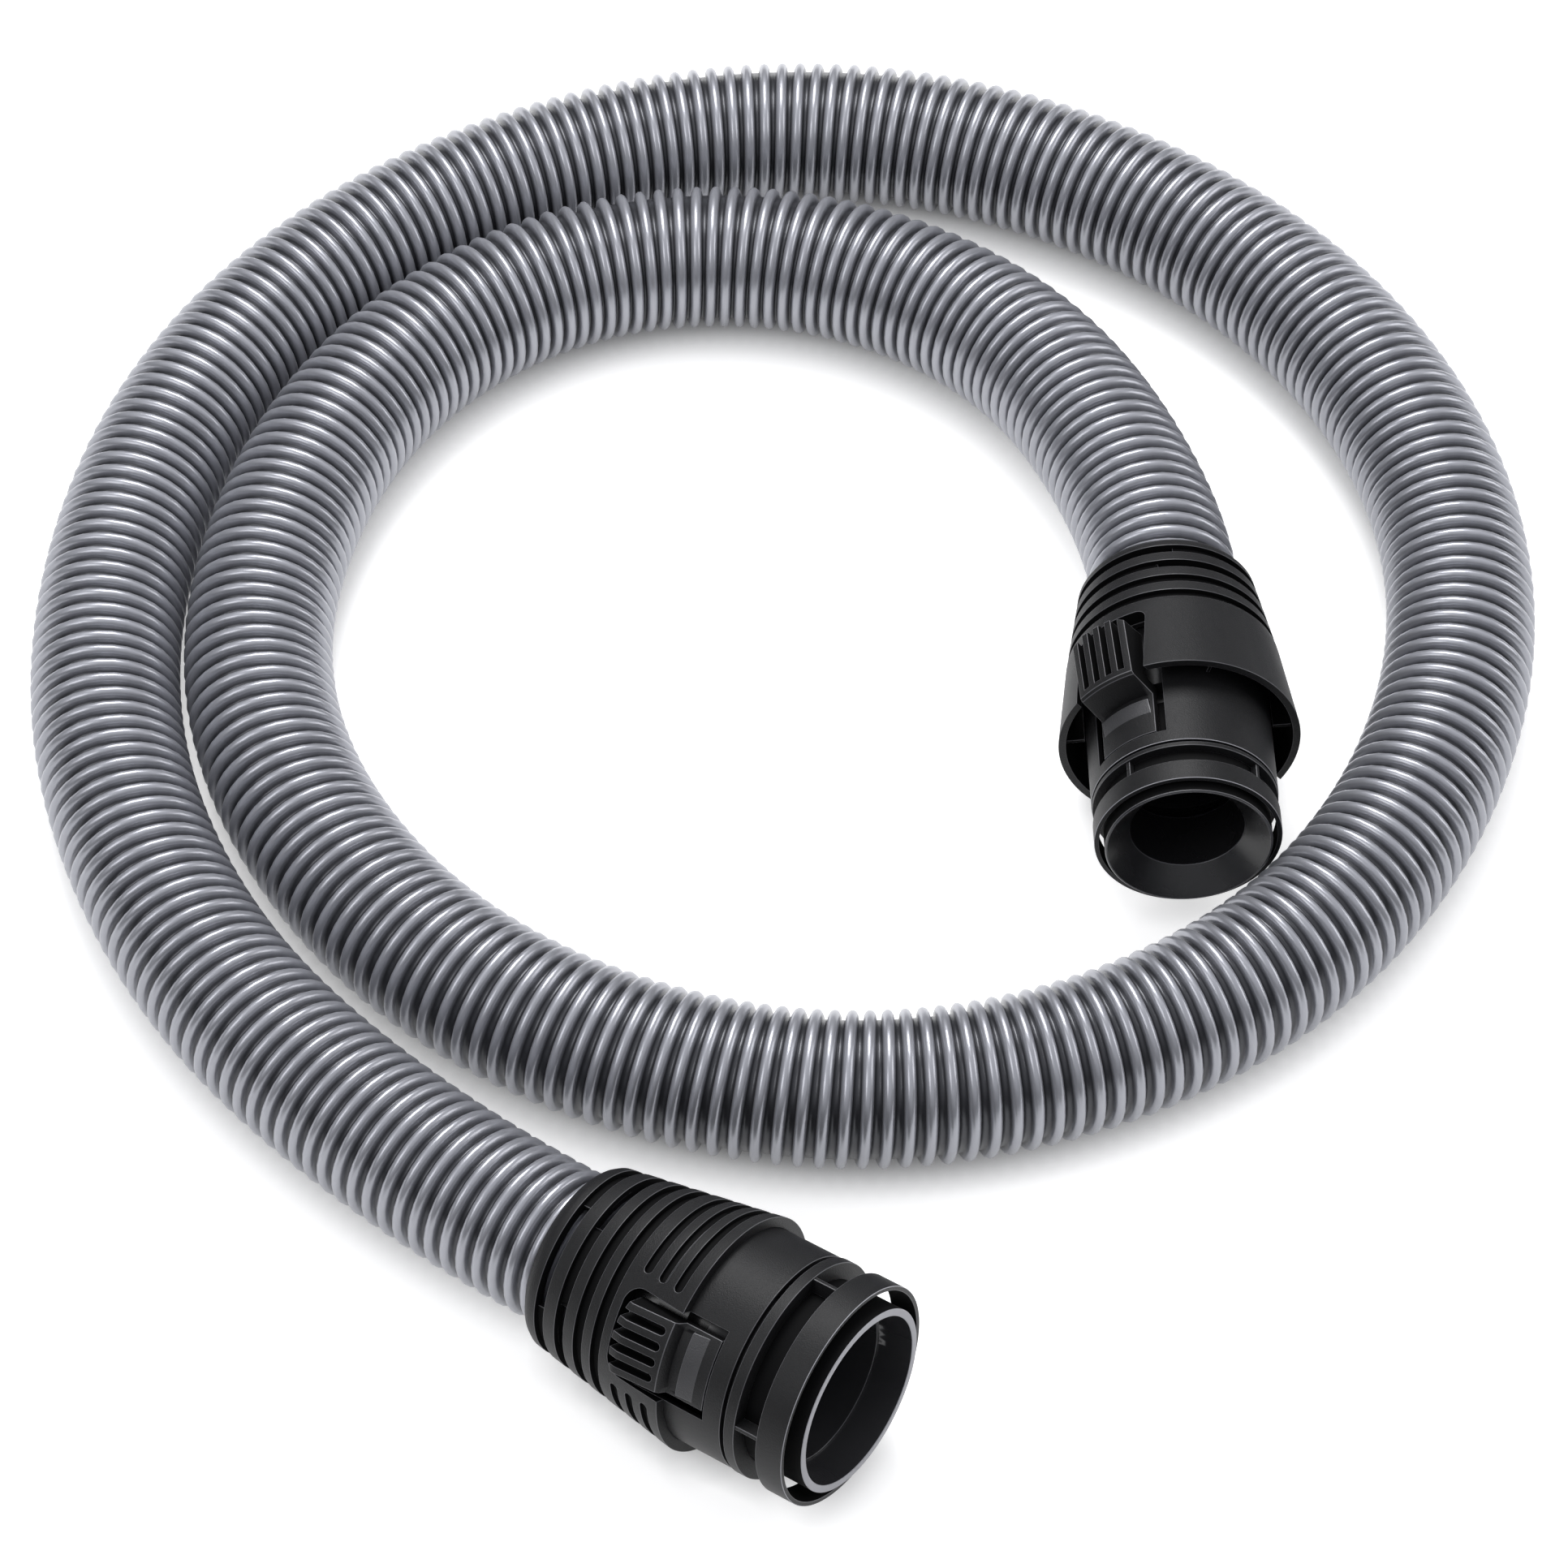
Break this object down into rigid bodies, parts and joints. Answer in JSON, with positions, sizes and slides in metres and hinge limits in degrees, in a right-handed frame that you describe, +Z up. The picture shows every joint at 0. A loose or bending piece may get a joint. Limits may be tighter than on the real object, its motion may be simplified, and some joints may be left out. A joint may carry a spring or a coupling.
{
  "type": "vacuum cleaner hose",
  "caption": "Ribbed flexible suction hose lying in a loose double turn, with a swivelling, latching connector at each end.",
  "frame": {"origin": "on the floor, below the middle of the two connectors", "axes": "+Z up, +Y from the inlet connector's end towards the back of the coil, +X to the right"},
  "size_m": [0.4456, 0.5327, 0.0697],
  "materials": {
    "hose_plastic": "metallic silver grey, glossy ribs",
    "black_plastic": "moulded, satin with a fine grain",
    "black_gloss": "smooth moulded",
    "seal_rubber": "matt"
  },
  "bodies": {
    "hose": {"hose_tube": "hose_plastic", "inlet_hose_sleeve": "black_gloss", "handle_hose_sleeve": "black_gloss"},
    "inlet_connector": {"inlet_grip": "black_plastic", "inlet_neck": "black_plastic", "inlet_mouth_ring": "black_plastic", "inlet_inner_tube": "black_gloss", "inlet_swivel_ring": "black_gloss", "inlet_seal": "seal_rubber"},
    "inlet_latch_upper": {"inlet_latch_upper": "black_plastic"},
    "inlet_latch_lower": {"inlet_latch_lower": "black_plastic"},
    "handle_connector": {"handle_grip": "black_plastic", "handle_neck": "black_plastic", "handle_mouth_ring": "black_plastic", "handle_inner_tube": "black_gloss", "handle_swivel_ring": "black_gloss", "handle_seal": "seal_rubber"},
    "handle_latch_upper": {"handle_latch_upper": "black_plastic"},
    "handle_latch_lower": {"handle_latch_lower": "black_plastic"}
  },
  "joints": [
    {"name": "inlet_swivel", "type": "hinge", "parent": "hose", "child": "inlet_connector", "pos_m": [-0.03878, -0.1156, 0.03582], "axis": [0.8139, -0.5699, 0.1132], "continuous": true},
    {"name": "inlet_latch_upper_press", "type": "hinge", "parent": "inlet_connector", "child": "inlet_latch_upper", "pos_m": [-0.05868, -0.13072, 0.05333], "axis": [-0.2756, -0.5502, -0.7883], "range_deg": [0, 7], "stiffness_Nm_per_rad": 1},
    {"name": "inlet_latch_lower_press", "type": "hinge", "parent": "inlet_connector", "child": "inlet_latch_lower", "pos_m": [-0.02799, -0.0941, 0.01704], "axis": [0.2756, 0.5502, 0.7883], "range_deg": [0, 7], "stiffness_Nm_per_rad": 1},
    {"name": "handle_swivel", "type": "hinge", "parent": "hose", "child": "handle_connector", "pos_m": [0.07415, 0.07798, 0.0356], "axis": [0.0174, -0.9989, 0.0436], "continuous": true},
    {"name": "handle_latch_upper_press", "type": "hinge", "parent": "handle_connector", "child": "handle_latch_upper", "pos_m": [0.05741, 0.07714, 0.05526], "axis": [-0.7598, -0.0416, -0.6488], "range_deg": [0, 6], "stiffness_Nm_per_rad": 1},
    {"name": "handle_latch_lower_press", "type": "hinge", "parent": "handle_connector", "child": "handle_latch_lower", "pos_m": [0.09094, 0.07602, 0.01606], "axis": [0.7598, 0.0416, 0.6488], "range_deg": [0, 6], "stiffness_Nm_per_rad": 1}
  ]
}
